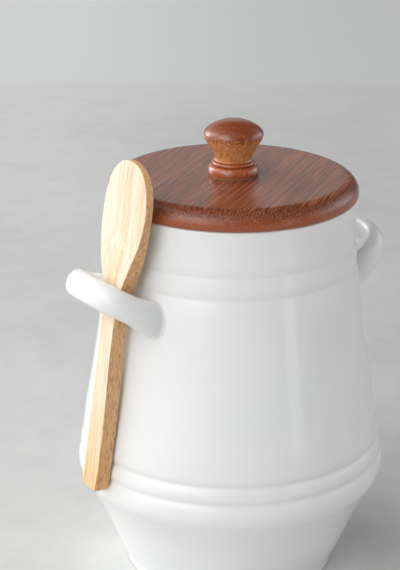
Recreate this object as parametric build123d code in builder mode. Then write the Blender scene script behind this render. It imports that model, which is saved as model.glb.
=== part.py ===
# Ceramic storage pot with a lift-off wooden lid, two loop handles and a
# wooden spreader carried upright in one of the loops.
#
# Frame: millimetres, +Z up, origin at the centre of the foot ring's flat face.
# The pot is turned about Z. The loop handles stand on -X and +X. The spreader
# leans in the -X loop, its broad face looking towards -X.
import os
from math import radians, cos, sin, sqrt, pi
from build123d import *

os.makedirs("parts", exist_ok=True)

# ---------------------------------------------------------------- dimensions
# pot
RIM_Z = 160.65            # top of the pot's rim
FOOT_R = 44.1             # outside of the foot ring
FOOT_FLAT_OUT = 43.0      # flat annulus the pot stands on
FOOT_FLAT_IN = 38.8
FOOT_RECESS = 2.6         # depth of the recess inside the foot ring
NECK_R = 50.0             # outside of the neck
BORE_R = 45.0             # inside of the neck
# lid
LID_Z = 160.80            # underside of the lid board, 0.15 above the rim
LID_T = 7.70              # thickness of the lid board
LID_R = 50.74             # largest radius of the lid board
STEP_R = 43.6             # locating step under the lid
STEP_H = 6.5
GROOVE_R = 42.0           # floor of the groove for the seal ring
GROOVE_Z0 = 156.10
GROOVE_Z1 = 159.00
SEAL_R = 44.85            # the seal's lip, 0.15 from the bore
# knob and its screw
KNOB_H = 22.8
SCREW_R = 2.0             # shank
SCREW_TOP = 180.0         # point of the screw inside the knob
HEAD_R = 4.1
HEAD_H = 2.6
WASHER_R = 6.2
HOLE_R = 2.25             # screw hole through the lid board
WASHER_T = 1.0
POCKET_R = 7.0            # pocket under the step for washer and head
POCKET_H = 4.6
# loop handles: an arch in a plane that rises away from the pot
LOOP_TILT = 31.0          # degrees the arch's plane rises above level
LOOP_Z = 120.35           # height at which that plane meets the base line
LOOP_BASE_R = 46.8        # distance of the arch's base line from the axis
LOOP_HALF = 18.2          # half width of the arch, to the strap's centre
LOOP_HALF_BACK = 19.8     # the same on the +Y arm of the -X loop
LOOP_L = 25.0             # reach of the +X arch from its base line
LOOP_L_LEFT = 25.6        # reach of the -X arch
LEFT_BACK = 1.0           # degrees the -X loop is set towards +Y
LOOP_E = 2.9              # squareness of the arch
STRAP_H = 11.1            # strap across the arch's plane, outer bar
STRAP_H_ROOT = 13.5       # and at the roots
STRAP_T_MID = 7.2         # strap in the arch's plane, outer bar
STRAP_T_ROOT = 8.8        # and at the roots
# spreader
SPR_LOW = 3.1             # the flat low end, from the spreader's reference point
SPR_LEN = 140.8           # the top of the blade, from the same point
SPR_TIP = 2.1             # the blade's top sits this far off the centre line
SPR_FOOT_X = -64.42       # reference point, on the back face's centre line
SPR_FOOT_Y = 0.20
SPR_FOOT_Z = 44.76
SPR_LEAN_IN = 0.1045      # towards the axis, per mm of height
SPR_LEAN_SIDE = -0.0480   # towards -Y, per mm of height


# ---------------------------------------------------------------- pot body
# turned profile of the outside, (radius, height); two soft grooves under the
# neck and two round the belly part the swelling bands
OUT_FOOT = [(44.10, 1.10), (44.90, 3.80), (47.50, 9.66), (50.10, 15.54),
            (52.55, 21.42), (54.80, 26.60), (56.95, 31.00), (59.10, 35.00),
            (61.10, 38.60), (62.75, 41.50), (63.62, 43.90), (63.86, 46.20),
            (63.66, 48.60), (63.15, 50.20), (62.78, 50.95)]
OUT_BAND = [(62.62, 51.85), (62.95, 53.20), (62.85, 54.70), (62.45, 56.20),
            (61.95, 57.40), (61.45, 58.10)]
OUT_BODY = [(61.35, 59.00), (61.72, 60.30), (61.55, 62.80), (61.00, 67.20),
            (59.95, 73.50), (58.50, 81.90), (56.78, 92.40), (55.20, 102.90),
            (53.85, 113.40), (52.85, 121.50), (52.15, 126.00),
            (51.35, 129.60), (50.78, 131.70), (50.52, 132.55)]
OUT_COLLAR = [(50.50, 133.25), (50.66, 134.60), (50.60, 137.20),
              (50.36, 139.80), (50.00, 141.55)]
OUT_NECK = [(49.96, 142.35), (50.12, 143.80), (50.04, 148.00),
            (49.94, 153.00), (50.02, 157.60), (50.05, 159.30)]
GROOVE_B2 = (62.45, 51.40)
GROOVE_B1 = (61.12, 58.55)
GROOVE_N2 = (50.34, 132.90)
GROOVE_N1 = (49.76, 141.95)

# inside of the pot, from the neck down to the floor
IN_WALL = [(BORE_R, 134.0), (45.25, 131.6), (46.10, 128.2), (47.30, 121.0),
           (48.90, 110.0), (51.30, 92.4), (54.05, 75.0), (56.20, 62.0),
           (57.70, 53.0), (58.15, 47.0), (57.50, 42.0), (55.10, 36.0),
           (50.80, 28.0), (46.60, 19.5), (43.80, 13.8)]


def draw_outside():
    """The outside of the turned wall, foot to rim, inside a BuildLine block."""
    Spline(*OUT_FOOT)
    ThreePointArc(OUT_FOOT[-1], GROOVE_B2, OUT_BAND[0])
    Spline(*OUT_BAND)
    ThreePointArc(OUT_BAND[-1], GROOVE_B1, OUT_BODY[0])
    Spline(*OUT_BODY)
    ThreePointArc(OUT_BODY[-1], GROOVE_N2, OUT_COLLAR[0])
    Spline(*OUT_COLLAR)
    ThreePointArc(OUT_COLLAR[-1], GROOVE_N1, OUT_NECK[0])
    Spline(*OUT_NECK)


with BuildPart() as pot_body:
    with BuildSketch(Plane.XZ) as wall_section:
        with BuildLine():
            # foot: recess, flat ring, rounded outer corner
            Polyline((0, FOOT_RECESS), (FOOT_FLAT_IN - 2.2, FOOT_RECESS),
                     (FOOT_FLAT_IN, 0), (FOOT_FLAT_OUT, 0))
            ThreePointArc((FOOT_FLAT_OUT, 0), (43.80, 0.32), OUT_FOOT[0])
            draw_outside()
            # nearly square rim with eased corners
            ThreePointArc(OUT_NECK[-1], (49.76, 160.30), (49.05, RIM_Z))
            Line((49.05, RIM_Z), (46.40, RIM_Z))
            ThreePointArc((46.40, RIM_Z), (45.41, 160.24), (BORE_R, 159.25))
            Line((BORE_R, 159.25), IN_WALL[0])
            Spline(*IN_WALL)
            ThreePointArc(IN_WALL[-1], (40.2, 9.0), (34.0, 7.4))
            Polyline((34.0, 7.4), (0, 7.4), (0, FOOT_RECESS))
        make_face()
    revolve(axis=Axis.Z)
pot_body.part.label = "pot_body"
export_step(pot_body.part, "parts/pot_body.step")


# ---------------------------------------------------------------- loop handles
# Each handle is an oval strap bent into an arch and pressed onto the wall.
# The arch lies in a plane that rises outwards; the strap is deepest across
# that plane and grows deeper and thicker towards its two roots. The -X arch
# is a little longer and its +Y arm stands wider, as hand-pressed straps do.
ARCH_STEPS = 15


def arch_sections(side):
    """Planes, thicknesses and depths along the arch on side -1 (-X) or +1 (+X)."""
    tilt, back = radians(LOOP_TILT), radians(LEFT_BACK if side < 0 else 0)
    outward = Vector(side * cos(back), sin(back), 0)
    out = outward * cos(tilt) + Vector(0, 0, sin(tilt))
    across = Vector(-outward.Y, outward.X, 0)
    base = outward * LOOP_BASE_R + Vector(0, 0, LOOP_Z)
    reach = LOOP_L_LEFT if side < 0 else LOOP_L
    sections = []
    for i in range(ARCH_STEPS):
        a = pi * i / (ARCH_STEPS - 1)
        ca, sa = cos(a), sin(a)
        half = LOOP_HALF_BACK if side < 0 and ca < 0 else LOOP_HALF
        u = (1 if ca >= 0 else -1) * abs(ca) ** (2 / LOOP_E) * half
        v = abs(sa) ** (2 / LOOP_E) * reach
        if i in (0, ARCH_STEPS - 1):
            v = 0.0
            u = half if i == 0 else -half
        # direction of travel, from the arch's gradient
        gu = abs(u / half) ** (LOOP_E - 1) * (1 if u >= 0 else -1) / half
        gv = abs(v / reach) ** (LOOP_E - 1) / reach
        n = sqrt(gu * gu + gv * gv)
        tu, tv = -gv / n, gu / n
        point = base + across * u + out * v
        travel = across * tu + out * tv
        inward = across * gu / n + out * gv / n
        far = min(1.0, v / reach)
        thick = STRAP_T_ROOT + (STRAP_T_MID - STRAP_T_ROOT) * far
        ease = max(0.0, min(1.0, (0.6 - far) / 0.4))
        deep = STRAP_H + (STRAP_H_ROOT - STRAP_H) * ease * ease * (3 - 2 * ease)
        sections.append((Plane(origin=point, x_dir=inward, z_dir=travel), thick, deep))
    return sections


with BuildPart() as handle_left:
    for plane, thick, deep in arch_sections(-1):
        with BuildSketch(plane):
            Ellipse(thick / 2, deep / 2)
    loft()
    # the roots end on the pot's wall
    with BuildSketch(Plane.XZ):
        with BuildLine():
            draw_outside()
            Polyline(OUT_NECK[-1], (0, OUT_NECK[-1][1]), (0, OUT_FOOT[0][1]),
                     OUT_FOOT[0])
        make_face()
    revolve(axis=Axis.Z, mode=Mode.SUBTRACT)
handle_left.part.label = "handle_left"
export_step(handle_left.part, "parts/handle_left.step")

with BuildPart() as handle_right:
    for plane, thick, deep in arch_sections(1):
        with BuildSketch(plane):
            Ellipse(thick / 2, deep / 2)
    loft()
    with BuildSketch(Plane.XZ):
        with BuildLine():
            draw_outside()
            Polyline(OUT_NECK[-1], (0, OUT_NECK[-1][1]), (0, OUT_FOOT[0][1]),
                     OUT_FOOT[0])
        make_face()
    revolve(axis=Axis.Z, mode=Mode.SUBTRACT)
handle_right.part.label = "handle_right"
export_step(handle_right.part, "parts/handle_right.step")


# ---------------------------------------------------------------- lid board
LID_TOP = LID_Z + LID_T
with BuildPart() as lid_board:
    with BuildSketch(Plane.XZ) as lid_section:
        with BuildLine():
            # pocket, step, seal groove, underside
            Polyline((HOLE_R, LID_TOP), (HOLE_R, LID_Z - STEP_H + POCKET_H),
                     (POCKET_R, LID_Z - STEP_H + POCKET_H), (POCKET_R, LID_Z - STEP_H),
                     (STEP_R - 1.0, LID_Z - STEP_H), (STEP_R, LID_Z - STEP_H + 1.0),
                     (STEP_R, GROOVE_Z0), (GROOVE_R, GROOVE_Z0),
                     (GROOVE_R, GROOVE_Z1), (STEP_R, GROOVE_Z1),
                     (STEP_R, LID_Z), (49.95, LID_Z))
            # crisp lower edge, short full side, wide quarter-round to the top
            ThreePointArc((49.95, LID_Z), (50.42, 161.00), (50.62, 161.45))
            ThreePointArc((50.62, 161.45), (50.71, 162.10), (LID_R, 162.80))
            Spline((LID_R, 162.80), (50.21, 164.98), (48.71, 166.83), (46.46, 168.07),
                   (43.80, LID_TOP), tangents=[(0, 1), (-1, 0)])
            Line((43.80, LID_TOP), (HOLE_R, LID_TOP))
        make_face()
    revolve(axis=Axis.Z)
lid_board.part.label = "lid_board"
export_step(lid_board.part, "parts/lid_board.step")


# ---------------------------------------------------------------- seal ring
with BuildPart() as seal_ring:
    with BuildSketch(Plane.XZ) as seal_section:
        with BuildLine():
            Polyline((GROOVE_R, GROOVE_Z0 + 0.1), (43.9, GROOVE_Z0 + 0.1),
                     (SEAL_R, GROOVE_Z0 + 0.75), (SEAL_R, GROOVE_Z0 + 1.15),
                     (44.1, GROOVE_Z0 + 1.45), (SEAL_R, GROOVE_Z0 + 1.75),
                     (SEAL_R, GROOVE_Z0 + 2.15), (43.9, GROOVE_Z1 - 0.1),
                     (GROOVE_R, GROOVE_Z1 - 0.1), (GROOVE_R, GROOVE_Z0 + 0.1))
        make_face()
    revolve(axis=Axis.Z)
seal_ring.part.label = "seal_ring"
export_step(seal_ring.part, "parts/seal_ring.step")


# ---------------------------------------------------------------- knob
KNOB_Z = LID_TOP
with BuildPart() as lid_knob:
    with BuildSketch(Plane.XZ) as knob_section:
        with BuildLine():
            Line((SCREW_R, KNOB_Z), (9.55, KNOB_Z))
            # foot bead
            ThreePointArc((9.55, KNOB_Z), (10.40, KNOB_Z + 2.0), (9.30, KNOB_Z + 4.30))
            Line((9.30, KNOB_Z + 4.30), (8.05, KNOB_Z + 4.55))
            # two small beads under the cone
            ThreePointArc((8.05, KNOB_Z + 4.55), (8.62, KNOB_Z + 5.20), (7.55, KNOB_Z + 6.00))
            ThreePointArc((7.55, KNOB_Z + 6.00), (7.78, KNOB_Z + 6.55), (7.25, KNOB_Z + 7.05))
            # cone, swelling into the head
            Spline((7.25, KNOB_Z + 7.05), (8.10, KNOB_Z + 9.00), (9.60, KNOB_Z + 11.80),
                   (11.05, KNOB_Z + 14.20), (11.85, KNOB_Z + 15.70), (12.15, KNOB_Z + 17.00))
            Spline((12.15, KNOB_Z + 17.00), (11.65, KNOB_Z + 18.35), (10.20, KNOB_Z + 19.75),
                   (8.20, KNOB_Z + 21.00), (5.60, KNOB_Z + 22.06), (2.90, KNOB_Z + 22.63),
                   (0, KNOB_Z + KNOB_H), tangents=[(0.05, 1), (-1, 0)])
            # pilot hole for the screw
            Polyline((0, KNOB_Z + KNOB_H), (0, SCREW_TOP), (SCREW_R, SCREW_TOP - 2.2),
                     (SCREW_R, KNOB_Z))
        make_face()
    revolve(axis=Axis.Z)
lid_knob.part.label = "lid_knob"
export_step(lid_knob.part, "parts/lid_knob.step")


# ---------------------------------------------------------------- screw, washer
POCKET_TOP = LID_Z - STEP_H + POCKET_H
HEAD_TOP = POCKET_TOP - WASHER_T
with BuildPart() as knob_screw:
    with BuildSketch(Plane.XZ) as screw_section:
        with BuildLine():
            Polyline((0, SCREW_TOP), (SCREW_R, SCREW_TOP - 2.2), (SCREW_R, HEAD_TOP),
                     (HEAD_R, HEAD_TOP), (HEAD_R, HEAD_TOP - 1.3))
            ThreePointArc((HEAD_R, HEAD_TOP - 1.3), (3.3, HEAD_TOP - 2.2), (2.0, HEAD_TOP - HEAD_H))
            Polyline((2.0, HEAD_TOP - HEAD_H), (0, HEAD_TOP - HEAD_H), (0, SCREW_TOP))
        make_face()
    revolve(axis=Axis.Z)
    # cross recess in the head
    with BuildSketch(Plane.XY.offset(HEAD_TOP - HEAD_H)):
        Rectangle(4.2, 0.8)
        Rectangle(0.8, 4.2)
    extrude(amount=1.5, mode=Mode.SUBTRACT)
knob_screw.part.label = "knob_screw"
export_step(knob_screw.part, "parts/knob_screw.step")

with BuildPart() as knob_washer:
    with BuildSketch(Plane.XY.offset(HEAD_TOP)):
        Circle(WASHER_R)
        Circle(SCREW_R, mode=Mode.SUBTRACT)
    extrude(amount=WASHER_T)
    chamfer(knob_washer.edges().filter_by(GeomType.CIRCLE).group_by(SortBy.RADIUS)[-1], 0.2)
knob_washer.part.label = "knob_washer"
export_step(knob_washer.part, "parts/knob_washer.step")


# ---------------------------------------------------------------- spreader
# flat outline, (distance along, half width, centre line's shift towards -Y)
SPR_OUTLINE = [(5.6, 5.02, 0.12), (8.0, 5.12, 0.12), (20.0, 5.22, 0.12),
               (35.0, 5.04, 0.11), (50.0, 4.62, 0.10), (60.0, 4.33, 0.05),
               (68.0, 4.22, 0.0), (74.0, 4.36, 0.0), (80.0, 4.78, 0.0),
               (86.0, 5.62, 0.0), (92.0, 7.30, 0.0), (98.0, 9.55, 0.0),
               (104.0, 11.65, 0.0), (110.0, 13.25, 0.03), (116.0, 14.08, 0.22),
               (122.0, 14.26, 0.70), (128.4, 13.45, 1.25), (133.4, 11.60, 1.63),
               (137.0, 9.15, 1.86), (139.4, 6.30, 2.00)]
# side view, (distance along, height above the back face's plane): a stout
# grip, then a blade that thins quickly and ends in a thin tip
SPR_FRONT = [(4.6, 6.78), (8.0, 6.62), (20.0, 6.22), (35.0, 6.08), (50.0, 6.10),
             (60.0, 6.06), (70.0, 5.86), (80.0, 5.74), (92.0, 5.80), (99.0, 5.62),
             (107.0, 4.85), (114.0, 4.25), (120.0, 4.06), (126.0, 4.12),
             (132.0, 4.18), (138.0, 4.10), (142.0, 3.98)]
SPR_BACK = [(142.0, 1.50), (136.0, 0.92), (128.0, 0.76), (121.0, 0.66), (114.0, 0.40),
            (107.0, -0.14), (99.0, -0.72), (91.0, -0.90), (83.0, -0.80), (75.0, -0.62),
            (66.0, -0.55), (58.0, -0.58), (48.0, -0.60), (36.0, -0.56), (24.0, -0.36),
            (12.0, -0.06), (6.4, 0.0)]
lean = Vector(SPR_LEAN_IN, SPR_LEAN_SIDE, 1).normalized()
side_dir = Vector(0, -1, 0)
side_dir = (side_dir - lean * side_dir.dot(lean)).normalized()
face_dir = side_dir.cross(lean)
if face_dir.X > 0:
    face_dir = face_dir * -1
# local frame: x across the blade, y along it, z out of the back face
spr_plane = Plane(origin=(SPR_FOOT_X, SPR_FOOT_Y, SPR_FOOT_Z),
                  x_dir=lean.cross(face_dir), z_dir=face_dir)
# side view of the blade: x across the thickness, y along the length
spr_side = Plane(origin=(SPR_FOOT_X, SPR_FOOT_Y, SPR_FOOT_Z),
                 x_dir=face_dir, z_dir=face_dir.cross(lean))

with BuildPart() as spatula:
    with BuildSketch(spr_plane) as blade:
        with BuildLine():
            right = [(c + w, d) for d, w, c in SPR_OUTLINE]
            left = [(c - w, d) for d, w, c in reversed(SPR_OUTLINE)]
            # the low end is cut flat; its -Y corner is nearly square
            ThreePointArc(left[-1], (-4.17, SPR_LOW + 0.73), (-2.4, SPR_LOW))
            Line((-2.4, SPR_LOW), (4.35, SPR_LOW))
            ThreePointArc((4.35, SPR_LOW), (4.98, SPR_LOW + 0.62), right[0])
            Spline(*right)
            ThreePointArc(right[-1], (SPR_TIP, SPR_LEN), left[0])
            Spline(*left)
        make_face()
    extrude(amount=9)
    extrude(blade.sketch, amount=-2)
    with BuildSketch(spr_side) as profile:
        with BuildLine():
            # eased front edge and a well rounded back edge at the low end
            Line((1.9, SPR_LOW - 0.1), (6.0, SPR_LOW - 0.1))
            ThreePointArc((6.0, SPR_LOW - 0.1), (6.58, SPR_LOW + 0.32),
                          (SPR_FRONT[0][1], SPR_FRONT[0][0]))
            Spline(*[(t, d) for d, t in SPR_FRONT])
            Line((SPR_FRONT[-1][1], 142), (SPR_BACK[0][1], 142))
            Spline(*[(t, d) for d, t in SPR_BACK])
            ThreePointArc((0, SPR_BACK[-1][0]), (0.58, SPR_LOW + 0.88), (1.9, SPR_LOW - 0.1))
        make_face()
    extrude(amount=20, both=True, mode=Mode.INTERSECT)
spatula.part.label = "spatula"
export_step(spatula.part, "parts/spatula.step")
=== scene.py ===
# Looks for the white glazed pot: visual meshes, procedural materials, a plain
# floor, soft light and the camera. Everything is in metres in the row frame.
import math

import bpy
import numpy as np
from mathutils import Matrix, Vector


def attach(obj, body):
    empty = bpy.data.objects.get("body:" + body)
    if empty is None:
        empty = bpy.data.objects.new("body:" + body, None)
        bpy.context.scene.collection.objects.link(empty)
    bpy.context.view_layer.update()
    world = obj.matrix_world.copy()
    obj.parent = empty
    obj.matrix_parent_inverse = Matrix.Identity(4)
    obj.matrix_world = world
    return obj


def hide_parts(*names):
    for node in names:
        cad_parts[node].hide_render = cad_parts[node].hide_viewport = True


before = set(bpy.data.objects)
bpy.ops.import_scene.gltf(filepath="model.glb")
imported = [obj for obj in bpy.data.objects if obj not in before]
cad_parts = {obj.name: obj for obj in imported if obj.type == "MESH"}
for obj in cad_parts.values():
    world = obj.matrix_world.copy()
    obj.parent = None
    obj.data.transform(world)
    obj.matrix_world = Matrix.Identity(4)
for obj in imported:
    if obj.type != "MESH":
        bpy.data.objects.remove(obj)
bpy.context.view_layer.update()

MM = 0.001
YAW = math.radians(-35.0)      # camera-aligned axes are the row axes turned by this


def side_on(x, y, z):
    """A point given as (right, away, up) seen from the camera, in the row frame."""
    c, s = math.cos(YAW), math.sin(YAW)
    return Vector((c * x - s * y, s * x + c * y, z))


# ------------------------------------------------------------------ curves
def spline(points, step):
    """Points along the natural cubic spline through the given ones."""
    p = np.array(points, float)
    t = np.concatenate([[0.0], np.cumsum(np.linalg.norm(np.diff(p, axis=0), axis=1))])
    n, h = len(p), np.diff(t)
    a, b = np.eye(n), np.zeros_like(p)
    for i in range(1, n - 1):
        a[i, i - 1], a[i, i], a[i, i + 1] = h[i - 1], 2 * (h[i - 1] + h[i]), h[i]
        b[i] = 6 * ((p[i + 1] - p[i]) / h[i] - (p[i] - p[i - 1]) / h[i - 1])
    m = np.linalg.solve(a, b)
    out = []
    for u in np.linspace(0, t[-1], max(3, int(math.ceil(t[-1] / step)) + 1)):
        i = min(max(int(np.searchsorted(t, u) - 1), 0), n - 2)
        d, e = t[i + 1] - u, u - t[i]
        out.append(m[i] * d ** 3 / (6 * h[i]) + m[i + 1] * e ** 3 / (6 * h[i])
                   + (p[i] / h[i] - m[i] * h[i] / 6) * d
                   + (p[i + 1] / h[i] - m[i + 1] * h[i] / 6) * e)
    return [tuple(q) for q in out]


def arc(a, b, c, step):
    """Points along the circular arc from a through b to c."""
    ax, ay, bx, by, cx, cy = *a, *b, *c
    d = 2 * (ax * (by - cy) + bx * (cy - ay) + cx * (ay - by))
    ux = ((ax * ax + ay * ay) * (by - cy) + (bx * bx + by * by) * (cy - ay)
          + (cx * cx + cy * cy) * (ay - by)) / d
    uy = ((ax * ax + ay * ay) * (cx - bx) + (bx * bx + by * by) * (ax - cx)
          + (cx * cx + cy * cy) * (bx - ax)) / d
    r = math.hypot(ax - ux, ay - uy)
    t0, t1, t2 = (math.atan2(y - uy, x - ux) for x, y in (a, b, c))
    up = (t1 - t0) % (2 * math.pi) < (t2 - t0) % (2 * math.pi)
    sweep = (t2 - t0) % (2 * math.pi) if up else -((t0 - t2) % (2 * math.pi))
    n = max(3, int(math.ceil(abs(sweep) * r / step)) + 1)
    return [(ux + r * math.cos(t0 + sweep * i / (n - 1)),
             uy + r * math.sin(t0 + sweep * i / (n - 1))) for i in range(n)]


def line(a, b, step):
    n = max(2, int(math.ceil(math.dist(a, b) / step)) + 1)
    return [(a[0] + (b[0] - a[0]) * i / (n - 1), a[1] + (b[1] - a[1]) * i / (n - 1))
            for i in range(n)]


def joined(*runs):
    out = []
    for run in runs:
        for q in run:
            if not out or math.dist(out[-1], q) > 1e-5:
                out.append(tuple(q))
    return out


# ------------------------------------------------------------------ mesh making
def make(name, verts, faces, body, nodes, material, sharp=40.0):
    me = bpy.data.meshes.new(name)
    me.from_pydata([tuple(MM * c for c in v) for v in verts], [], faces)
    me.validate()
    me.polygons.foreach_set("use_smooth", [True] * len(me.polygons))
    me.set_sharp_from_angle(angle=math.radians(sharp))
    me.materials.append(material)
    ob = bpy.data.objects.new(name, me)
    bpy.context.collection.objects.link(ob)
    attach(ob, body)
    if nodes:
        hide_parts(*nodes)
    return ob


def turned(profile, segments, wobble=None):
    """A closed surface of revolution about Z. The profile is (radius, height),
    starts and ends on the axis or closes on itself."""
    closed = profile[0][0] > 1e-6
    if closed and math.dist(profile[0], profile[-1]) < 1e-6:
        profile = profile[:-1]
    verts, faces, rows = [], [], []
    for r, z in profile:
        if r < 1e-6:
            rows.append([len(verts)])
            verts.append((0.0, 0.0, z))
            continue
        row = []
        for k in range(segments):
            a = 2 * math.pi * k / segments
            rr = r + (wobble(r, z, a) if wobble else 0.0)
            row.append(len(verts))
            verts.append((rr * math.cos(a), rr * math.sin(a), z))
        rows.append(row)
    pairs = list(zip(rows, rows[1:]))
    if closed:
        pairs.append((rows[-1], rows[0]))
    for lo, hi in pairs:
        for k in range(segments):
            m = (k + 1) % segments
            if len(lo) == 1 and len(hi) == 1:
                continue
            if len(lo) == 1:
                faces.append((lo[0], hi[m], hi[k]))
            elif len(hi) == 1:
                faces.append((lo[k], lo[m], hi[0]))
            else:
                faces.append((lo[k], lo[m], hi[m], hi[k]))
    return verts, faces


# ------------------------------------------------------------------ node helper
class Nodes:
    """Short calls for building one material's node tree."""

    def __init__(self, name):
        self.mat = bpy.data.materials.new(name)
        self.mat.use_nodes = True
        self.tree = self.mat.node_tree
        self.tree.nodes.clear()
        self.out = self.tree.nodes.new("ShaderNodeOutputMaterial")

    def add(self, kind, ins=None, **props):
        n = self.tree.nodes.new(kind)
        for k, v in props.items():
            setattr(n, k, v)
        for k, v in (ins or {}).items():
            self.put(n.inputs[k], v)
        return n

    def put(self, socket, value):
        if isinstance(value, bpy.types.NodeSocket):
            self.tree.links.new(value, socket)
        else:
            socket.default_value = value

    def math(self, op, a, b=None, c=None, clamp=False):
        n = self.add("ShaderNodeMath", operation=op, use_clamp=clamp)
        for i, v in enumerate((a, b, c)):
            if v is not None:
                self.put(n.inputs[i], v)
        return n.outputs[0]

    def ramp(self, fac, stops, interpolation="LINEAR"):
        n = self.add("ShaderNodeValToRGB")
        n.color_ramp.interpolation = interpolation
        el = n.color_ramp.elements
        while len(el) < len(stops):
            el.new(0.5)
        for e, (pos, col) in zip(el, stops):
            e.position = pos
            e.color = (*col, 1.0) if len(col) == 3 else (col[0],) * 3 + (1.0,)
        self.put(n.inputs[0], fac)
        return n.outputs[0]

    def remap(self, v, a, b, c=0.0, d=1.0, smooth=False):
        n = self.add("ShaderNodeMapRange")
        n.interpolation_type = "SMOOTHSTEP" if smooth else "LINEAR"
        n.clamp = True
        self.put(n.inputs["Value"], v)
        for k, x in (("From Min", a), ("From Max", b), ("To Min", c), ("To Max", d)):
            n.inputs[k].default_value = x
        return n.outputs["Result"]

    def mix(self, fac, a, b, mode="MIX"):
        n = self.add("ShaderNodeMix", data_type="RGBA", blend_type=mode)
        self.put(n.inputs[0], fac)
        for i, v in ((6, a), (7, b)):
            self.put(n.inputs[i], (*v, 1.0) if isinstance(v, tuple) and len(v) == 3 else v)
        return n.outputs[2]

    def noise(self, vec, scale, detail=2.0, rough=0.5, distort=0.0, kind=None):
        n = self.add("ShaderNodeTexNoise", noise_dimensions="3D")
        self.put(n.inputs["Vector"], vec)
        n.inputs["Scale"].default_value = scale
        n.inputs["Detail"].default_value = detail
        n.inputs["Roughness"].default_value = rough
        n.inputs["Distortion"].default_value = distort
        return n.outputs["Fac"]

    def mapping(self, vec, scale=(1, 1, 1), rotation=(0, 0, 0), location=(0, 0, 0)):
        n = self.add("ShaderNodeMapping")
        self.put(n.inputs["Vector"], vec)
        n.inputs["Scale"].default_value = scale
        n.inputs["Rotation"].default_value = rotation
        n.inputs["Location"].default_value = location
        return n.outputs[0]

    def bump(self, height, strength, distance, normal=None):
        n = self.add("ShaderNodeBump")
        self.put(n.inputs["Height"], height)
        n.inputs["Strength"].default_value = strength
        n.inputs["Distance"].default_value = distance
        if normal is not None:
            self.put(n.inputs["Normal"], normal)
        return n.outputs[0]

    def surface(self, **ins):
        n = self.add("ShaderNodeBsdfPrincipled")
        for k, v in ins.items():
            self.put(n.inputs[k.replace("_", " ")], v)
        self.put(self.out.inputs["Surface"], n.outputs[0])
        return n


# ------------------------------------------------------------------ materials
def glaze_material():
    n = Nodes("white_glaze")
    pos = n.add("ShaderNodeTexCoord").outputs["Object"]
    z = n.add("ShaderNodeSeparateXYZ", {0: pos}).outputs[2]
    cloud = n.noise(pos, 22.0, 3.0, 0.55)
    fine = n.noise(pos, 420.0, 2.0, 0.5)
    tint = n.ramp(cloud, [(0.30, (0.842, 0.852, 0.850)), (0.52, (0.866, 0.872, 0.868)),
                          (0.74, (0.850, 0.863, 0.865))])
    # darker, greyer glaze in the four turned grooves: partly the glaze pooling there, partly painted shade in the
    # grooves
    groove_pool_and_shade = None
    for zc, half in ((51.4, 1.3), (58.55, 1.3), (132.9, 1.0), (141.95, 1.0)):
        d = n.math("ABSOLUTE", n.math("SUBTRACT", z, zc * MM))
        v = n.remap(d, 0.15 * half * MM, half * MM, 1.0, 0.0, smooth=True)
        groove_pool_and_shade = v if groove_pool_and_shade is None else n.math("MAXIMUM", groove_pool_and_shade, v)
    tint = n.mix(n.math("MULTIPLY", groove_pool_and_shade, 0.35), tint, (0.790, 0.800, 0.785))
    # tiny iron specks, few and faint
    speck = n.add("ShaderNodeTexVoronoi", {"Vector": pos, "Scale": 150.0}, feature="F1")
    dot = n.remap(speck.outputs["Distance"], 0.035, 0.075, 1.0, 0.0, smooth=True)
    some = n.math("GREATER_THAN", n.add("ShaderNodeSeparateColor", {0: speck.outputs["Color"]}).outputs[0], 0.93)
    tint = n.mix(n.math("MULTIPLY", n.math("MULTIPLY", dot, some), 0.30), tint, (0.55, 0.50, 0.44))
    # unglazed foot ring
    bare = n.remap(z, 0.35 * MM, 0.75 * MM, 1.0, 0.0, smooth=True)
    grit = n.noise(pos, 1500.0, 3.0, 0.7)
    biscuit = n.ramp(grit, [(0.35, (0.60, 0.555, 0.49)), (0.65, (0.76, 0.72, 0.66))])
    colour = n.mix(bare, tint, biscuit)
    rough = n.remap(n.noise(pos, 60.0, 3.0, 0.6), 0.3, 0.7, 0.085, 0.135)
    rough = n.math("ADD", rough, n.math("MULTIPLY", bare, 0.55))
    # slow waviness of the glaze, then a fine orange peel
    slow = n.noise(n.mapping(pos, (1, 1, 0.7)), 34.0, 1.0, 0.4)
    b = n.bump(slow, 0.30, 0.35 * MM)
    b = n.bump(fine, 0.10, 0.02 * MM, b)
    b = n.bump(n.math("MULTIPLY", grit, bare), 0.5, 0.08 * MM, b)
    n.surface(Base_Color=colour, Roughness=rough, IOR=1.5, Normal=b)
    return n.mat


def grained(n, vec, along, across, detail=3.0, rough=0.55, distort=0.0):
    """Noise stretched along the first axis of vec: features per metre each way."""
    return n.noise(n.mapping(vec, (along, across, across)), 1.0, detail, rough, distort)


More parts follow.
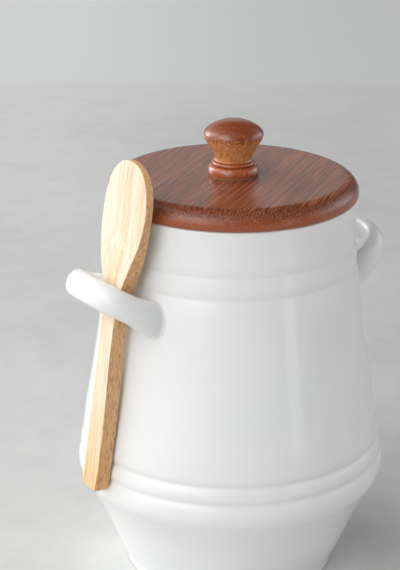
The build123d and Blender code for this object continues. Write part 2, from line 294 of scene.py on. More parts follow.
def lid_wood_material():
    n = Nodes("lid_wood_varnished")
    pos = n.add("ShaderNodeTexCoord").outputs["Object"]
    # the grain runs 34 degrees from +X, nearly straight
    g = n.mapping(pos, rotation=(0, 0, math.radians(-34.0)))
    wander = n.noise(g, 14.0, 1.0, 0.5)
    off = n.add("ShaderNodeCombineXYZ", {1: n.math("MULTIPLY", n.math("SUBTRACT", wander, 0.5), 0.0035)}).outputs[0]
    g = n.add("ShaderNodeVectorMath", {0: g, 1: off}, operation="ADD").outputs[0]
    band = grained(n, g, 2.5, 60.0, 1.0, 0.5)
    fibre = grained(n, g, 22.0, 1150.0, 2.0, 0.6)
    fine = grained(n, g, 60.0, 2400.0, 2.0, 0.65)
    # close, nearly even lines of early and late wood
    lines = n.add("ShaderNodeTexWave", {"Vector": n.mapping(g, (0.12, 1, 1)), "Scale": 275.0, "Distortion": 6.0,
                                        "Detail": 2.0, "Detail Scale": 0.8, "Detail Roughness": 0.6},
                  wave_type="BANDS", bands_direction="Y", wave_profile="SIN").outputs["Fac"]
    pore = grained(n, g, 110.0, 2400.0, 1.0, 0.5)
    tone = n.math("ADD", n.math("MULTIPLY", band, 0.10), n.math("MULTIPLY", fibre, 0.48))
    tone = n.math("ADD", tone, n.math("MULTIPLY", fine, 0.30))
    tone = n.math("ADD", tone, n.math("MULTIPLY", lines, 0.10))
    colour = n.ramp(tone, [(0.38, (0.085, 0.017, 0.0080)), (0.46, (0.180, 0.042, 0.0165)),
                           (0.53, (0.275, 0.074, 0.0290)), (0.61, (0.420, 0.140, 0.0620))])
    dark = n.remap(pore, 0.60, 0.68, 0.0, 1.0, smooth=True)
    colour = n.mix(n.math("MULTIPLY", dark, 0.25), colour, (0.060, 0.0140, 0.0065))
    light = n.remap(pore, 0.32, 0.40, 1.0, 0.0, smooth=True)
    colour = n.mix(n.math("MULTIPLY", light, 0.15), colour, (0.46, 0.18, 0.085))
    # the rounded edge cuts across the fibres: a fine speckle instead of lines
    sep = n.add("ShaderNodeSeparateXYZ", {0: pos})
    out = n.math("SQRT", n.math("ADD", n.math("MULTIPLY", sep.outputs[0], sep.outputs[0]),
                                n.math("MULTIPLY", sep.outputs[1], sep.outputs[1])))
    edge = n.remap(out, 46.5 * MM, 49.2 * MM, 0.0, 1.0, smooth=True)
    dots = n.noise(pos, 2500.0, 1.0, 0.5)
    rim = n.ramp(dots, [(0.38, (0.055, 0.010, 0.0050)), (0.50, (0.178, 0.036, 0.0135)),
                        (0.62, (0.400, 0.118, 0.0470))])
    # painted light: the lower half of the rounded edge is mixed to a paler, warmer brown where light falls on it
    painted_lower_rim_light = n.remap(sep.outputs[2], 166.6 * MM, 163.2 * MM, 0.0, 1.0, smooth=True)
    rim = n.mix(n.math("MULTIPLY", painted_lower_rim_light, 0.50), rim, (0.480, 0.112, 0.031))
    colour = n.mix(n.math("MULTIPLY", edge, 0.85), colour, rim)
    rough = n.remap(fibre, 0.3, 0.7, 0.36, 0.52)
    b = n.bump(fibre, 0.22, 0.04 * MM)
    b = n.bump(pore, 0.30, 0.04 * MM, b)
    coat_b = n.bump(fibre, 0.26, 0.05 * MM)
    coat_b = n.bump(fine, 0.14, 0.03 * MM, coat_b)
    n.surface(Base_Color=colour, Roughness=rough, IOR=1.5, Specular_IOR_Level=0.32, Normal=b,
              Coat_Weight=n.math("SUBTRACT", 0.9, n.math("MULTIPLY", edge, 0.35)),
              Coat_Roughness=0.18, Coat_IOR=1.5, Coat_Normal=coat_b)
    return n.mat


def knob_wood_material(base_z):
    n = Nodes("knob_wood_varnished")
    pos = n.add("ShaderNodeTexCoord").outputs["Object"]
    sep = n.add("ShaderNodeSeparateXYZ", {0: pos})
    z = sep.outputs[2]
    # grain runs up the knob, so its first axis is height
    g = n.add("ShaderNodeCombineXYZ", {0: sep.outputs[2], 1: sep.outputs[0], 2: sep.outputs[1]}).outputs[0]
    band = grained(n, g, 12.0, 130.0, 2.0, 0.5)
    fibre = grained(n, g, 60.0, 900.0, 3.0, 0.6)
    pore = grained(n, g, 800.0, 1750.0, 1.5, 0.6)
    tone = n.math("ADD", n.math("MULTIPLY", band, 0.18), n.math("MULTIPLY", fibre, 0.82))
    pale = n.ramp(tone, [(0.34, (0.560, 0.205, 0.060)), (0.47, (0.700, 0.295, 0.100)),
                         (0.60, (0.820, 0.400, 0.155))])
    deep = n.ramp(tone, [(0.34, (0.215, 0.045, 0.016)), (0.47, (0.268, 0.062, 0.0225)),
                         (0.62, (0.325, 0.082, 0.030))])
    bead = n.ramp(tone, [(0.36, (0.290, 0.050, 0.013)), (0.60, (0.410, 0.084, 0.023))])
    # the domed head is darker than the cone; the change starts in flecks
    h = n.math("SUBTRACT", z, base_z)
    ragged = n.math("ADD", h, n.math("MULTIPLY", n.math("SUBTRACT", pore, 0.5), 7.5 * MM))
    head = n.remap(ragged, 14.6 * MM, 17.4 * MM, 0.0, 1.0, smooth=True)
    foot = n.remap(h, 6.4 * MM, 7.6 * MM, 1.0, 0.0, smooth=True)
    colour = n.mix(head, pale, deep)
    colour = n.mix(n.math("MULTIPLY", foot, 0.85), colour, bead)
    # painted highlight: a thin paler line where the foot meets the lid
    ring = n.remap(h, 0.65 * MM, 1.05 * MM, 1.0, 0.0, smooth=True)
    colour = n.mix(n.math("MULTIPLY", ring, 0.75), colour, (0.720, 0.430, 0.240))
    specks = n.math("MULTIPLY", n.remap(pore, 0.58, 0.68, 0.0, 1.0, smooth=True),
                    n.remap(h, 9.0 * MM, 14.0 * MM, 0.18, 0.42, smooth=True))
    colour = n.mix(specks, colour, (0.100, 0.030, 0.014))
    rough = n.remap(fibre, 0.3, 0.7, 0.30, 0.45)
    b = n.bump(fibre, 0.20, 0.04 * MM)
    n.surface(Base_Color=colour, Roughness=rough, IOR=1.5, Normal=b,
              Specular_IOR_Level=0.15,
              Coat_Weight=1.0, Coat_Roughness=0.06, Coat_IOR=1.55)
    return n.mat


def pale_wood_material():
    n = Nodes("pale_wood_oiled")
    # local: across the blade, along it, out of its face
    loc = n.add("ShaderNodeAttribute", attribute_name="local").outputs["Vector"]
    sep = n.add("ShaderNodeSeparateXYZ", {0: loc})
    g = n.add("ShaderNodeCombineXYZ", {0: sep.outputs[1], 1: sep.outputs[0], 2: sep.outputs[2]}).outputs[0]
    wander = n.noise(g, 22.0, 1.0, 0.5)
    off = n.add("ShaderNodeCombineXYZ", {1: n.math("MULTIPLY", n.math("SUBTRACT", wander, 0.5), 0.0028)}).outputs[0]
    g = n.add("ShaderNodeVectorMath", {0: g, 1: off}, operation="ADD").outputs[0]
    band = grained(n, g, 7.0, 190.0, 2.0, 0.5)
    fibre = grained(n, g, 24.0, 1800.0, 2.0, 0.6)
    pore = grained(n, g, 130.0, 1900.0, 1.0, 0.5)
    tone = n.math("ADD", n.math("MULTIPLY", band, 0.16), n.math("MULTIPLY", fibre, 0.84))
    colour = n.ramp(tone, [(0.34, (0.710, 0.490, 0.290)), (0.46, (0.825, 0.632, 0.440)),
                           (0.54, (0.880, 0.725, 0.548)), (0.67, (0.918, 0.795, 0.650))])
    # painted light: paler towards the +Y edge, where the light falls on the blade
    painted_edge_light = n.remap(sep.outputs[0], -1.0 * MM, -12.0 * MM, 0.0, 0.55, smooth=True)
    colour = n.mix(painted_edge_light, colour, (0.930, 0.830, 0.700))
    # warmer and browner towards the grip's low end
    grip = n.ramp(tone, [(0.36, (0.640, 0.390, 0.175)), (0.46, (0.745, 0.505, 0.255)),
                         (0.54, (0.810, 0.580, 0.328)), (0.66, (0.860, 0.660, 0.410))])
    warm = n.remap(sep.outputs[1], 0.000, 0.046, 1.0, 0.0, smooth=True)
    colour = n.mix(warm, colour, grip)
    fleck = n.remap(pore, 0.58, 0.69, 0.0, 1.0, smooth=True)
    colour = n.mix(n.math("MULTIPLY", fleck, 0.26), colour, (0.500, 0.280, 0.120))
    # the narrow faces are cut along the grain: browner, with fine dark dots
    rim = n.add("ShaderNodeAttribute", attribute_name="rim").outputs["Fac"]
    dots = grained(n, g, 320.0, 1500.0, 2.0, 0.6)
    cut = n.ramp(dots, [(0.34, (0.500, 0.190, 0.055)), (0.47, (0.760, 0.370, 0.130)),
                        (0.62, (0.870, 0.500, 0.215))])
    colour = n.mix(n.remap(rim, 0.35, 0.85, 0.0, 0.80, smooth=True), colour, cut)
    rough = n.remap(fibre, 0.3, 0.7, 0.42, 0.58)
    b = n.bump(fibre, 0.35, 0.05 * MM)
    b = n.bump(pore, 0.30, 0.04 * MM, b)
    n.surface(Base_Color=colour, Roughness=rough, IOR=1.45, Normal=b)
    return n.mat


def silicone_material():
    n = Nodes("seal_silicone")
    pos = n.add("ShaderNodeTexCoord").outputs["Object"]
    c = n.ramp(n.noise(pos, 90.0, 3.0, 0.6), [(0.3, (0.70, 0.70, 0.67)), (0.7, (0.80, 0.80, 0.77))])
    r = n.remap(n.noise(pos, 500.0, 2.0, 0.5), 0.3, 0.7, 0.42, 0.55)
    n.surface(Base_Color=c, Roughness=r, IOR=1.41,
              Normal=n.bump(n.noise(pos, 900.0, 2.0, 0.5), 0.2, 0.03 * MM))
    return n.mat


def steel_material():
    n = Nodes("plated_steel")
    pos = n.add("ShaderNodeTexCoord").outputs["Object"]
    sep = n.add("ShaderNodeSeparateXYZ", {0: pos})
    r2 = n.math("SQRT", n.math("ADD", n.math("MULTIPLY", sep.outputs[0], sep.outputs[0]),
                               n.math("MULTIPLY", sep.outputs[1], sep.outputs[1])))
    turn = n.add("ShaderNodeCombineXYZ", {0: n.math("MULTIPLY", r2, 3500.0),
                                          1: n.math("MULTIPLY", sep.outputs[2], 900.0)}).outputs[0]
    rings = n.noise(turn, 1.0, 2.0, 0.6)
    patch = n.noise(pos, 260.0, 3.0, 0.6)
    c = n.ramp(patch, [(0.3, (0.46, 0.46, 0.44)), (0.7, (0.62, 0.615, 0.60))])
    r = n.remap(rings, 0.3, 0.7, 0.24, 0.42)
    n.surface(Base_Color=c, Metallic=1.0, Roughness=r, Normal=n.bump(rings, 0.25, 0.02 * MM))
    return n.mat


GLAZE = glaze_material()
LID_WOOD = lid_wood_material()
KNOB_WOOD = knob_wood_material(168.5 * MM)
PALE_WOOD = pale_wood_material()
SILICONE = silicone_material()
STEEL = steel_material()

# ------------------------------------------------------------------ pot
OUT_FOOT = [(44.10, 1.10), (44.90, 3.80), (47.50, 9.66), (50.10, 15.54),
            (52.55, 21.42), (54.80, 26.60), (56.95, 31.00), (59.10, 35.00),
            (61.10, 38.60), (62.75, 41.50), (63.62, 43.90), (63.86, 46.20),
            (63.66, 48.60), (63.15, 50.20), (62.78, 50.95)]
OUT_BAND = [(62.62, 51.85), (62.95, 53.20), (62.85, 54.70), (62.45, 56.20),
            (61.95, 57.40), (61.45, 58.10)]
OUT_BODY = [(61.35, 59.00), (61.72, 60.30), (61.55, 62.80), (61.00, 67.20),
            (59.95, 73.50), (58.50, 81.90), (56.78, 92.40), (55.20, 102.90),
            (53.85, 113.40), (52.85, 121.50), (52.15, 126.00),
            (51.35, 129.60), (50.78, 131.70), (50.52, 132.55)]
OUT_COLLAR = [(50.50, 133.25), (50.66, 134.60), (50.60, 137.20),
              (50.36, 139.80), (50.00, 141.55)]
OUT_NECK = [(49.96, 142.35), (50.12, 143.80), (50.04, 148.00),
            (49.94, 153.00), (50.02, 157.60), (50.05, 159.30)]
IN_WALL = [(45.0, 134.0), (45.25, 131.6), (46.10, 128.2), (47.30, 121.0),
           (48.90, 110.0), (51.30, 92.4), (54.05, 75.0), (56.20, 62.0),
           (57.70, 53.0), (58.15, 47.0), (57.50, 42.0), (55.10, 36.0),
           (50.80, 28.0), (46.60, 19.5), (43.80, 13.8)]

outside = joined(
    spline(OUT_FOOT, 0.8),
    arc(OUT_FOOT[-1], (62.45, 51.40), OUT_BAND[0], 0.14),
    spline(OUT_BAND, 0.5),
    arc(OUT_BAND[-1], (61.12, 58.55), OUT_BODY[0], 0.14),
    spline(OUT_BODY, 0.8),
    arc(OUT_BODY[-1], (50.34, 132.90), OUT_COLLAR[0], 0.12),
    spline(OUT_COLLAR, 0.5),
    arc(OUT_COLLAR[-1], (49.76, 141.95), OUT_NECK[0], 0.12),
    spline(OUT_NECK, 0.8))
out_r = np.array([q[0] for q in outside])
out_z = np.array([q[1] for q in outside])
# even steps, then the grooves' corners softened as glaze softens them
even_z = np.concatenate([np.linspace(out_z[0], 48.0, 50)[:-1], np.linspace(48.0, 62.0, 71)[:-1],
                         np.linspace(62.0, 129.0, 75)[:-1], np.linspace(129.0, 146.0, 86)[:-1],
                         np.linspace(146.0, out_z[-1], 18)])
even_r = np.interp(even_z, out_z, out_r)
fine_z = np.linspace(out_z[0], out_z[-1], 6000)
fine_r = np.interp(fine_z, out_z, out_r)
dz = fine_z[1] - fine_z[0]
reach = np.arange(-120, 121)
kernel = np.exp(-0.5 * (reach * dz / 0.62) ** 2)
kernel /= kernel.sum()
soft_r = np.convolve(np.pad(fine_r, 120, mode="edge"), kernel, mode="valid")
near = np.maximum.reduce([np.exp(-0.5 * ((fine_z - c) / 2.6) ** 4) for c in (51.4, 58.55, 132.9, 141.95)])
fine_r = fine_r + (soft_r - fine_r) * near
out_r, out_z = np.interp(even_z, fine_z, fine_r), even_z
outside = list(zip(out_r.tolist(), out_z.tolist()))


def wall_radius(z):
    return np.interp(z, out_z, out_r)


pot_profile = joined(
    [(0.0, 2.6)], line((0.0, 2.6), (36.6, 2.6), 4.0)[1:], line((36.6, 2.6), (38.8, 0.0), 0.6),
    line((38.8, 0.0), (43.0, 0.0), 0.6), arc((43.0, 0.0), (43.80, 0.32), (44.10, 1.10), 0.2),
    outside,
    arc(outside[-1], (49.76, 160.30), (49.05, 160.65), 0.16),
    line((49.05, 160.65), (46.40, 160.65), 0.5),
    arc((46.40, 160.65), (45.41, 160.24), (45.0, 159.25), 0.2),
    line((45.0, 159.25), (45.0, 134.0), 2.0),
    spline(IN_WALL, 1.8),
    arc(IN_WALL[-1], (40.2, 9.0), (34.0, 7.4), 1.0),
    line((34.0, 7.4), (0.0, 7.4), 3.0))
pot_profile[-1] = (0.0, 7.4)
verts, faces = turned(pot_profile, 208)
pot = make("glazed_pot", verts, faces, "pot", ["pot_body"], GLAZE, 50.0)


# ------------------------------------------------------------------ loop handles
def loop_handle(side):
    """The oval strap bent into an arch, flared a little where it meets the wall.
    Each long line of the strap ends just inside the wall."""
    tilt, e = math.radians(31.0), 2.9
    reach = 25.58 if side < 0 else 24.98
    back = math.radians(1.0 if side < 0 else 0.0)
    outward = np.array([side * math.cos(back), math.sin(back), 0.0])
    out = outward * math.cos(tilt) + np.array([0.0, 0.0, math.sin(tilt)])
    across = np.array([-outward[1], outward[0], 0.0])
    base = outward * 46.8 + np.array([0.0, 0.0, 120.35])
    a = np.concatenate([np.linspace(0, 0.02, 60)[:-1] ** 1.0, np.linspace(0.02, math.pi - 0.02, 1400)[:-1],
                        np.linspace(math.pi - 0.02, math.pi, 60)])
    ca, sa = np.cos(a), np.abs(np.sin(a))
    half = np.where((ca < 0) & (side < 0), 19.8, 18.2)
    u = np.sign(ca) * np.abs(ca) ** (2 / e) * half
    v = sa ** (2 / e) * reach
    u[0], v[0], u[-1], v[-1] = half[0], 0, -half[-1], 0
    # even steps along the arch
    s = np.concatenate([[0], np.cumsum(np.hypot(np.diff(u), np.diff(v)))])
    n = 260
    t = np.linspace(0, s[-1], n)
    u, v = np.interp(t, s, u), np.interp(t, s, v)
    half = np.where((u < 0) & (side < 0), 19.8, 18.2)
    gu = np.abs(u / half) ** (e - 1) * np.where(u >= 0, 1, -1) / half
    gv = np.abs(v / reach) ** (e - 1) / reach
    g = np.hypot(gu, gv)
    point = base + u[:, None] * across + v[:, None] * out
    travel = (-gv / g)[:, None] * across + (gu / g)[:, None] * out
    inward = (gu / g)[:, None] * across + (gv / g)[:, None] * out
    up = np.cross(travel, inward)
    far = np.minimum(1.0, v / reach)
    thick = 8.8 + (7.2 - 8.8) * far
    ease = np.clip((0.6 - far) / 0.4, 0, 1)
    deep = 11.1 + 2.4 * ease * ease * (3 - 2 * ease)
    around = 56
    grid = []
    for j in range(around):
        f = 2 * math.pi * j / around
        c, q = math.cos(f), math.sin(f)
        ax, bx = (thick / 2)[:, None], (deep / 2)[:, None]
        p = point + inward * (ax * c) + up * (bx * q)
        nrm = inward * (c / ax) + up * (q / bx)
        nrm /= np.linalg.norm(nrm, axis=1)[:, None]
        d = np.hypot(p[:, 0], p[:, 1]) - wall_radius(p[:, 2])
        flare = 0.75
        w = np.clip(1 - d / flare, 0, 1)
        p = p + nrm * (flare * (1 - np.sqrt(np.maximum(0, 1 - w * w))) * 0.9)[:, None]
        d = np.hypot(p[:, 0], p[:, 1]) - wall_radius(p[:, 2])
        # the part of this line that lies outside the wall, less a hidden tail
        mid = n // 2
        lo = max(np.nonzero(d[:mid] < -0.9)[0], default=0)
        hi = mid + min(np.nonzero(d[mid:] < -0.9)[0], default=n - 1 - mid)
        keep = p[lo:hi + 1]
        r = np.concatenate([[0], np.cumsum(np.linalg.norm(np.diff(keep, axis=0), axis=1))])
        m = 150
        # finer steps near both roots, where the flare is
        x = np.linspace(-1, 1, m)
        x = (1.0 + np.sin(x * math.pi / 2) * 0.55 / 0.55 * 1.0) / 2 * 0.45 + (x + 1) / 2 * 0.55
        x = (x - x[0]) / (x[-1] - x[0])
        grid.append(np.stack([np.interp(x * r[-1], r, keep[:, k]) for k in range(3)], 1))
    verts, faces = [], []
    for line_ in grid:
        verts += [tuple(q) for q in line_]
    m = len(grid[0])
    for j in range(around):
        k = (j + 1) % around
        for i in range(m - 1):
            faces.append((j * m + i, k * m + i, k * m + i + 1, j * m + i + 1))
    faces.append(tuple(j * m for j in reversed(range(around))))
    faces.append(tuple(j * m + m - 1 for j in range(around)))
    return verts, faces


for side, tag in ((-1, "left"), (1, "right")):
    verts, faces = loop_handle(side)
    make("glazed_handle_" + tag, verts, faces, "pot", ["handle_" + tag], GLAZE, 70.0)

# ------------------------------------------------------------------ lid board
LID_TOP = 168.5
lid_profile = joined(
    line((2.25, LID_TOP), (2.25, 158.9), 2.4), line((2.25, 158.9), (7.0, 158.9), 1.2),
    line((7.0, 158.9), (7.0, 154.3), 1.2), line((7.0, 154.3), (42.6, 154.3), 3.0),
    line((42.6, 154.3), (43.6, 155.3), 0.5), line((43.6, 155.3), (43.6, 156.1), 0.4),
    line((43.6, 156.1), (42.0, 156.1), 0.5), line((42.0, 156.1), (42.0, 159.0), 0.6),
    line((42.0, 159.0), (43.6, 159.0), 0.5), line((43.6, 159.0), (43.6, 160.8), 0.6),
    line((43.6, 160.8), (49.95, 160.8), 0.8),
    arc((49.95, 160.8), (50.42, 161.00), (50.62, 161.45), 0.12),
    arc((50.62, 161.45), (50.71, 162.10), (50.735, 162.80), 0.2),
    [(43.8 + 6.935 * math.cos(q), 162.8 + 5.7 * math.sin(q)) for q in np.linspace(0, math.pi / 2, 34)],
    line((43.8, LID_TOP), (2.25, LID_TOP), 1.6))
verts, faces = turned(lid_profile, 288)
lid = make("lid_disc", verts, faces, "lid", ["lid_board"], LID_WOOD, 35.0)

# ------------------------------------------------------------------ knob
K = LID_TOP


def head_curve():
    """The swelling head: up over the widest point and round to the top."""
    pts = [(7.25, 7.05), (8.10, 9.00), (9.60, 11.80), (11.05, 14.20), (11.85, 15.70), (12.15, 17.00),
           (11.65, 18.35), (10.20, 19.75), (8.20, 21.00), (5.60, 22.06), (2.90, 22.63), (0.0, 22.8)]
    run = spline([(r, K + h) for r, h in pts], 0.28)
    run[-1] = (0.0, K + 22.8)
    return run


knob_profile = joined(
    line((2.0, K), (9.55, K), 1.5),
    arc((9.55, K), (10.40, K + 2.0), (9.30, K + 4.30), 0.22),
    line((9.30, K + 4.30), (8.05, K + 4.55), 0.3),
    arc((8.05, K + 4.55), (8.62, K + 5.20), (7.55, K + 6.00), 0.16),
    arc((7.55, K + 6.00), (7.78, K + 6.55), (7.25, K + 7.05), 0.14),
    head_curve(), [(0.0, 180.0)], line((2.0, 177.8), (2.0, K), 3.0))
verts, faces = turned(knob_profile, 160)
knob = make("turned_knob", verts, faces, "lid", ["lid_knob"], KNOB_WOOD, 38.0)


# ------------------------------------------------------------------ spreader
def spreader():
    """The blade with its edges eased. Returns vertices in the row frame, faces,
    and each vertex's place on the blade: across, along and out of the face."""
    outline = [(5.6, 5.02, 0.12), (8.0, 5.12, 0.12), (20.0, 5.22, 0.12), (35.0, 5.04, 0.11),
               (50.0, 4.62, 0.10), (60.0, 4.33, 0.05), (68.0, 4.22, 0.0), (74.0, 4.36, 0.0),
               (80.0, 4.78, 0.0), (86.0, 5.62, 0.0), (92.0, 7.30, 0.0), (98.0, 9.55, 0.0),
               (104.0, 11.65, 0.0), (110.0, 13.25, 0.03), (116.0, 14.08, 0.22),
               (122.0, 14.26, 0.70), (128.4, 13.45, 1.25), (133.4, 11.60, 1.63),
               (137.0, 9.15, 1.86), (139.4, 6.30, 2.00)]
    front_pts = [(4.6, 6.78), (8.0, 6.62), (20.0, 6.22), (35.0, 6.08), (50.0, 6.10),
                 (60.0, 6.06), (70.0, 5.86), (80.0, 5.74), (92.0, 5.80), (99.0, 5.62),
                 (107.0, 4.85), (114.0, 4.25), (120.0, 4.06), (126.0, 4.12),
                 (132.0, 4.18), (138.0, 4.10), (142.0, 3.98)]
    back_pts = [(6.4, 0.0), (12.0, -0.06), (24.0, -0.36), (36.0, -0.56), (48.0, -0.60), (58.0, -0.58),
                (66.0, -0.55), (75.0, -0.62), (83.0, -0.80), (91.0, -0.90), (99.0, -0.72),
                (107.0, -0.14), (114.0, 0.40), (121.0, 0.66), (128.0, 0.76), (136.0, 0.92), (142.0, 1.50)]
    low, tip, length = 3.1, 2.1, 140.8
    # the low end's edges are rounded a little in front and well at the back
    front_line = np.array(joined(arc((low - 0.1, 6.0), (low + 0.32, 6.58), front_pts[0], 0.15),
                                 spline(front_pts, 0.5)))
    back_line = np.array(joined(arc((low - 0.1, 1.9), (low + 0.88, 0.58), back_pts[0], 0.2),
                                spline(back_pts, 0.5)))
    # each long side runs from the middle of the low end to the middle of the tip
    n = 320
    sides = []
    for sgn in (1, -1):
        edge = [(c + sgn * w, d) for d, w, c in outline]
        if sgn > 0:
            end = line((1.0, low), (4.35, low + 0.06), 0.4) + arc((4.35, low + 0.06), (4.98, low + 0.66), edge[0], 0.2)
        else:
            end = line((1.0, low), (-2.4, low + 0.06), 0.4) + arc((-2.4, low + 0.06), (-4.17, low + 0.76), edge[0], 0.2)
        other = (2 * 2.0 - edge[-1][0], edge[-1][1])
        top = arc(edge[-1], (tip, length), other, 0.2)
        top = [q for q in top if (q[0] - tip) * sgn > 0.02] + [(tip, length)]
        run = np.array(joined(end, spline(edge, 0.5), top))
        t = np.concatenate([[0], np.cumsum(np.linalg.norm(np.diff(run, axis=0), axis=1))])
        # closer together near both ends
        x = np.linspace(0, 1, n)
        x = x - 0.055 * np.sin(2 * math.pi * x)
        run = np.stack([np.interp(x * t[-1], t, run[:, k]) for k in range(2)], 1)
        tan = np.gradient(run, axis=0)
        tan /= np.linalg.norm(tan, axis=1)[:, None]
        nrm = np.stack([tan[:, 1], -tan[:, 0]], 1) * sgn     # outwards
        nrm[0], nrm[-1] = (0.0, -1.0), (0.0, 1.0)
        for _ in range(2):
            nrm[1:-1] = 0.25 * nrm[:-2] + 0.5 * nrm[1:-1] + 0.25 * nrm[2:]
        nrm /= np.linalg.norm(nrm, axis=1)[:, None]
        sides.append((run, nrm))

    def front(s):
        return float(np.interp(s, front_line[:, 0], front_line[:, 1]))

    def back(s):
        return float(np.interp(s, back_line[:, 0], back_line[:, 1]))

    # rings from the rim of the back face round to the rim of the front face
    r_edge, steps = 0.34, 5
    rings = []                                   # (inward offset, which face, depth below it)
    for k in range(steps, -1, -1):
        q = math.pi / 2 * k / steps
        rings.append((r_edge * (1 - math.cos(q)), -1, r_edge * (1 - math.sin(q))))
    rings.append((0.0, 0, 0.0))
    for k in range(steps + 1):
        q = math.pi / 2 * k / steps
        rings.append((r_edge * (1 - math.cos(q)), 1, r_edge * (1 - math.sin(q))))
    verts, faces = [], []
    loop = 2 * n - 2                             # right side up, left side down

    def place(i, off, which, depth):
        k = i if i < n else loop - i
        run, nrm = sides[0 if i < n else 1]
        w, s = run[k] - nrm[k] * off
        f, b = front(s), back(s)
        z = f - depth if which > 0 else b + depth if which < 0 else (f + b) / 2
        return (w, s, z)

    rim = []                                     # 1 on the narrow faces, 0 on the broad ones
    for off, which, depth in rings:
        for i in range(loop):
            verts.append(place(i, off, which, depth))
            rim.append(1.0 - off / r_edge)
    for k in range(len(rings) - 1):
        for i in range(loop):
            j = (i + 1) % loop
            faces.append((k * loop + i, k * loop + j, (k + 1) * loop + j, (k + 1) * loop + i))
    # both broad faces, filled in rows across
    cols = 14
    for which, ring in ((-1, 0), (1, len(rings) - 1)):
        base = ring * loop
        prev = [base]
        for k in range(1, n):
            if k == n - 1:
                row = [base + n - 1]
            else:
                a, b = base + k, base + loop - k
                pa, pb = np.array(verts[a]), np.array(verts[b])
                row = [a]
                for c in range(1, cols):
                    row.append(len(verts))
                    verts.append(tuple(pa + (pb - pa) * c / cols))
                row.append(b)
            if len(prev) == 1:
                new = [(prev[0], row[c], row[c + 1]) for c in range(cols)]
            elif len(row) == 1:
                new = [(prev[c], row[0], prev[c + 1]) for c in range(cols)]
            else:
                new = [(prev[c], row[c], row[c + 1], prev[c + 1]) for c in range(cols)]
            faces += [q if which > 0 else tuple(reversed(q)) for q in new]
            prev = row
    # from the blade's own axes to the row frame
    lean = np.array([0.1045, -0.0480, 1.0])
    lean /= np.linalg.norm(lean)
    side_dir = np.array([0.0, -1.0, 0.0])
    side_dir -= lean * side_dir.dot(lean)
    side_dir /= np.linalg.norm(side_dir)
    face_dir = np.cross(side_dir, lean)
    if face_dir[0] > 0:
        face_dir = -face_dir
    x_dir = np.cross(lean, face_dir)
    foot = np.array([-64.42, 0.20, 44.76])
    local = np.array(verts)
    world = foot + local[:, :1] * x_dir + local[:, 1:2] * lean + local[:, 2:3] * face_dir
    rim += [0.0] * (len(verts) - len(rim))
    return [tuple(q) for q in world], faces, local, rim


verts, faces, local, rim = spreader()
blade = make("spreader_blade", verts, faces, "spatula", ["spatula"], PALE_WOOD, 60.0)
place_ = blade.data.attributes.new("local", "FLOAT_VECTOR", "POINT")
place_.data.foreach_set("vector", (local * MM).ravel().tolist())
rim_ = blade.data.attributes.new("rim", "FLOAT", "POINT")
rim_.data.foreach_set("value", rim)

# ------------------------------------------------------------------ CAD nodes that stay
for node, material in (("seal_ring", SILICONE), ("knob_screw", STEEL), ("knob_washer", STEEL)):
    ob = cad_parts[node]
    if not ob.material_slots:
        ob.data.materials.append(material)
    for k in range(len(ob.material_slots)):
        ob.material_slots[k].link = "OBJECT"
        ob.material_slots[k].material = material


# ------------------------------------------------------------------ floor
def floor_material():
    n = Nodes("pale_floor")
    pos = n.add("ShaderNodeTexCoord").outputs["Object"]
    big = n.noise(n.mapping(pos, (1, 1, 1)), 7.0, 4.0, 0.55)
    small = n.noise(pos, 60.0, 4.0, 0.6)
    tone = n.math("ADD", n.math("MULTIPLY", big, 0.65), n.math("MULTIPLY", small, 0.35))
    c = n.ramp(tone, [(0.34, (0.632, 0.640, 0.630)), (0.50, (0.700, 0.708, 0.696)),
                      (0.66, (0.752, 0.759, 0.746))])
    # a paler strip far behind the object
    sep = n.add("ShaderNodeSeparateXYZ", {0: pos})
    away = side_on(0, 1, 0)
    dist = n.math("ADD", n.math("MULTIPLY", sep.outputs[0], away.x), n.math("MULTIPLY", sep.outputs[1], away.y))
    far = n.remap(dist, 0.785, 0.830, 0.0, 1.0, smooth=True)
    c = n.mix(far, c, (0.760, 0.770, 0.772))
    # a little deeper away from the light
    across = side_on(1, 0, 0)
    side = n.math("ADD", n.math("MULTIPLY", sep.outputs[0], across.x), n.math("MULTIPLY", sep.outputs[1], across.y))
    c = n.mix(n.remap(side, -0.14, 0.16, 0.0, 0.17, smooth=True), c, (0.05, 0.05, 0.05))
    deeper = n.math("MULTIPLY", n.remap(side, -0.20, 0.02, 0.05, 0.12, smooth=True),
                    n.remap(dist, 0.05, 0.40, 0.0, 1.0, smooth=True))
    c = n.mix(deeper, c, (0.05, 0.05, 0.05))
    n.surface(Base_Color=c, Roughness=0.62, Normal=n.bump(small, 0.10, 0.3 * MM))
    return n.mat


me = bpy.data.meshes.new("floor")
S, G = 4.0, 40
gv = [(-S + 2 * S * i / G, -S + 2 * S * j / G, 0.0) for j in range(G + 1) for i in range(G + 1)]
gf = [(j * (G + 1) + i, j * (G + 1) + i + 1, (j + 1) * (G + 1) + i + 1, (j + 1) * (G + 1) + i)
      for j in range(G) for i in range(G)]
me.from_pydata(gv, [], gf)
me.materials.append(floor_material())
floor = bpy.data.objects.new("floor", me)
bpy.context.collection.objects.link(floor)


# ------------------------------------------------------------------ light
def area(name, where, target, width, height, watts, colour=(1, 1, 1), spread=180.0):
    data = bpy.data.lights.new(name, "AREA")
    data.shape, data.size, data.size_y = "RECTANGLE", width, height
    data.energy, data.color = watts, colour
    data.spread = math.radians(spread)
    ob = bpy.data.objects.new(name, data)
    bpy.context.collection.objects.link(ob)
    ob.location = side_on(*where)
    ob.rotation_mode = "QUATERNION"
    ob.rotation_quaternion = (side_on(*target) - ob.location).to_track_quat("-Z", "Y")
    ob.visible_camera = False
    return ob


def round_at(azimuth, elevation, distance, z=0.10):
    """A place seen from the pot: azimuth from the camera's side, right positive."""
    a, e = math.radians(azimuth), math.radians(elevation)
    return (distance * math.cos(e) * math.sin(a), -distance * math.cos(e) * math.cos(a),
            z + distance * math.sin(e))


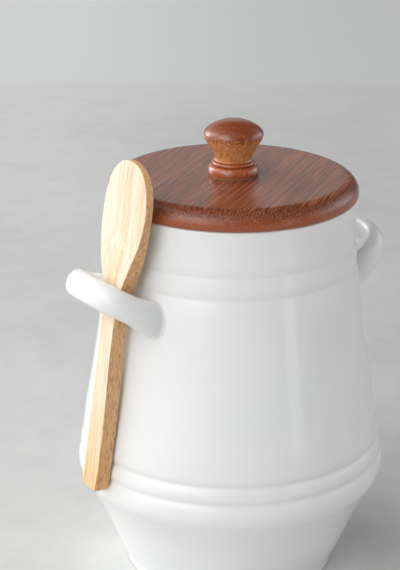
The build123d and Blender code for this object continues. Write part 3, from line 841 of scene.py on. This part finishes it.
area("right_card", (0.335, -0.300, 0.20), (0, 0, 0.12), 0.080, 0.38, 0.115, (0.98, 0.99, 1.0))

# soft patches of light round the room: azimuth from the camera's side (right
# positive), height above the table, and what each gives a face turned to it
SOFT = [(-180, 15, 0.12), (-150, 15, 0.11), (-120, 15, 1.69), (-90, 15, 0.11), (-60, 15, 0.34),
        (-30, 15, 0.65), (90, 15, 0.46), (120, 15, 0.60), (-105, 40, 0.70), (-75, 40, 0.25),
        (-45, 40, 0.82), (-15, 40, 0.31), (-60, 65, 0.39), (60, 65, 0.11)]
TIGHT = 24.0
AMBIENT = 0.02


def studio_world():
    """A pale room lit softly, mostly from the left, some from behind on the right."""
    n = Nodes.__new__(Nodes)
    world = bpy.data.worlds.new("studio")
    bpy.context.scene.world = world
    world.use_nodes = True
    n.tree = world.node_tree
    n.tree.nodes.clear()
    out = n.tree.nodes.new("ShaderNodeOutputWorld")
    d = n.add("ShaderNodeTexCoord").outputs["Generated"]
    level = None
    for azimuth, height, give in SOFT:
        aim = side_on(*round_at(azimuth, height, 1.0, 0.0))
        dot = n.add("ShaderNodeVectorMath", {0: d}, operation="DOT_PRODUCT")
        dot.inputs[1].default_value = aim
        patch = n.math("EXPONENT", n.math("MULTIPLY", n.math("SUBTRACT", dot.outputs["Value"], 1.0), TIGHT))
        patch = n.math("MULTIPLY", patch, give * TIGHT / (2 * math.pi))
        level = n.math("ADD", patch, AMBIENT if level is None else level)
    bg = n.add("ShaderNodeBackground", {"Strength": level})
    bg.inputs["Color"].default_value = (1.0, 1.0, 1.0, 1.0)
    n.tree.links.new(bg.outputs[0], out.inputs["Surface"])


studio_world()

# ------------------------------------------------------------------ camera
data = bpy.data.cameras.new("camera")
camera = bpy.data.objects.new("camera", data)
bpy.context.collection.objects.link(camera)
bpy.context.scene.camera = camera
data.sensor_width, data.lens = 36.0, 120.0
data.clip_start, data.clip_end = 0.05, 30.0
look = Vector((0.53778, 0.76802, -0.34779)).normalized()
camera.location = (-0.43007, -0.59175, 0.39206)
camera.rotation_mode = "QUATERNION"
camera.rotation_quaternion = (look.to_track_quat("-Z", "Y") @ Matrix.Rotation(0.005084, 4, "Z").to_quaternion()
                              @ Matrix.Rotation(0.000263, 4, "Y").to_quaternion()
                              @ Matrix.Rotation(0.000263, 4, "X").to_quaternion())

bpy.context.scene.view_settings.view_transform = "Standard"
bpy.context.scene.view_settings.look = "None"
